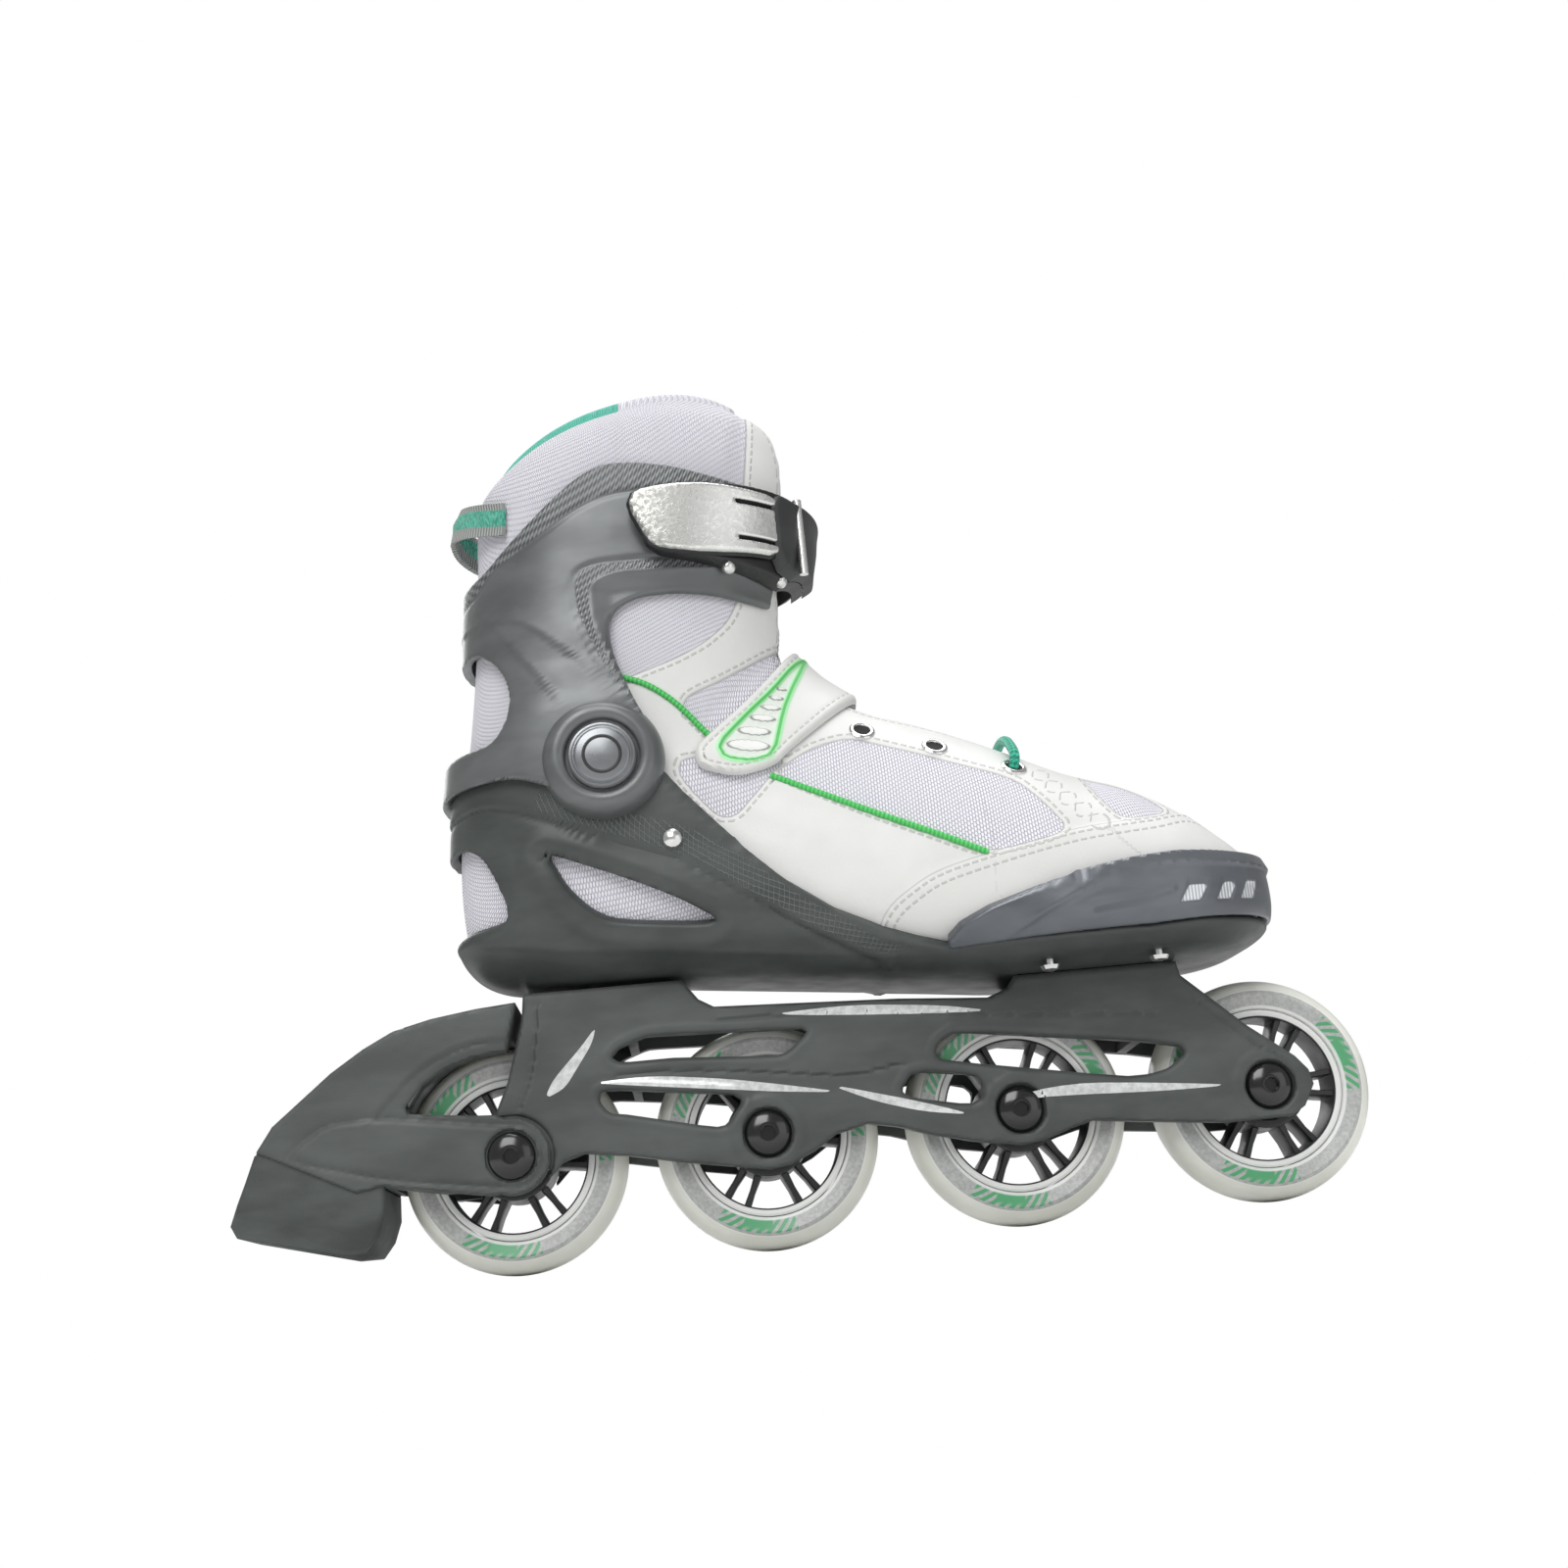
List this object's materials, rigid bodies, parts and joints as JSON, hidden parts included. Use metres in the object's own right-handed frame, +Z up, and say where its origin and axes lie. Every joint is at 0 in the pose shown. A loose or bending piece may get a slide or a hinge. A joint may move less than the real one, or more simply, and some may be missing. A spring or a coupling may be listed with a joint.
{
  "type": "inline skate",
  "caption": "Right-foot inline skate: soft boot in a plastic shell with a hinged cuff, lever buckle and strap, on an in-line wheel frame with a heel brake.",
  "frame": {"origin": "On the ground under the wheels, below the middle of the box in X and Y", "axes": "+X towards the toe, +Y towards the inner side of the right foot, +Z up"},
  "size_m": [0.387, 0.1086, 0.299],
  "materials": {
    "frame_grey": "fine matt",
    "cuff_grey": "satin metallic",
    "bumper_grey": "satin metallic",
    "black_plastic": "satin",
    "brake_rubber": "matt",
    "tyre_white": "milky polyurethane",
    "hub_black": "satin",
    "steel": "bright",
    "black_steel": "glossy black",
    "lever_silver": "bright pitted",
    "mesh_fabric": "padded open mesh",
    "white_vinyl": "smooth coated",
    "lining_grey": "brushed",
    "teal_textile": "woven"
  },
  "bodies": {
    "skate": {"axle_bolt_1": "black_steel", "axle_bolt_2": "black_steel", "axle_bolt_3": "black_steel", "axle_bolt_4": "black_steel", "axle_sleeve_1": "black_steel", "axle_sleeve_2": "black_steel", "axle_sleeve_3": "black_steel", "axle_sleeve_4": "black_steel", "base_shell": "frame_grey", "brake_bracket": "frame_grey", "brake_pad": "brake_rubber", "brake_screw": "steel", "eyelet_1": "steel", "eyelet_2": "steel", "eyelet_3": "steel", "eyelet_4": "steel", "eyelet_5": "steel", "eyelet_6": "steel", "frame": "frame_grey", "insole": "lining_grey", "instep_strap": "white_vinyl", "lace": "teal_textile", "mount_bolt_front": "steel", "mount_bolt_rear": "steel", "pivot_cap_inner": "lever_silver", "pivot_cap_outer": "lever_silver", "shell_rivet_inner": "steel", "shell_rivet_outer": "steel", "toe_bumper": "bumper_grey", "toe_screw_1": "steel", "toe_screw_2": "steel", "toe_screw_3": "steel", "toe_screw_4": "steel", "tongue_lower": "white_vinyl", "upper": "white_vinyl"},
    "wheel_1": {"tyre_1": "tyre_white", "hub_1": "hub_black", "bearing_1_outer": "steel", "bearing_1_inner": "steel"},
    "wheel_2": {"tyre_2": "tyre_white", "hub_2": "hub_black", "bearing_2_outer": "steel", "bearing_2_inner": "steel"},
    "wheel_3": {"tyre_3": "tyre_white", "hub_3": "hub_black", "bearing_3_outer": "steel", "bearing_3_inner": "steel"},
    "wheel_4": {"tyre_4": "tyre_white", "hub_4": "hub_black", "bearing_4_outer": "steel", "bearing_4_inner": "steel"},
    "cuff_unit": {"cuff": "cuff_grey", "collar": "mesh_fabric", "tongue_upper": "white_vinyl", "buckle_base": "black_plastic", "ladder_strap": "black_plastic", "strap_anchor": "steel", "lever_pin": "steel", "pull_loop": "teal_textile"},
    "lever": {"buckle_lever": "lever_silver"}
  },
  "joints": [
    {"name": "wheel_1_spin", "type": "hinge", "parent": "skate", "child": "wheel_1", "pos_m": [-0.1005, 0, 0.038], "axis": [0, 1, 0], "continuous": true},
    {"name": "wheel_2_spin", "type": "hinge", "parent": "skate", "child": "wheel_2", "pos_m": [-0.01516, 0, 0.038], "axis": [0, 1, 0], "continuous": true},
    {"name": "wheel_3_spin", "type": "hinge", "parent": "skate", "child": "wheel_3", "pos_m": [0.07017, 0, 0.038], "axis": [0, 1, 0], "continuous": true},
    {"name": "wheel_4_spin", "type": "hinge", "parent": "skate", "child": "wheel_4", "pos_m": [0.15549, 0, 0.038], "axis": [0, 1, 0], "continuous": true},
    {"name": "cuff_pivot", "type": "hinge", "parent": "skate", "child": "cuff_unit", "pos_m": [-0.0595, 0, 0.165], "axis": [0, 1, 0], "range_deg": [0, 12]},
    {"name": "buckle_lever_swing", "type": "hinge", "parent": "cuff_unit", "child": "lever", "pos_m": [0.0159, -0.027, 0.2445], "axis": [0, 0, 1], "range_deg": [0, 100]}
  ]
}
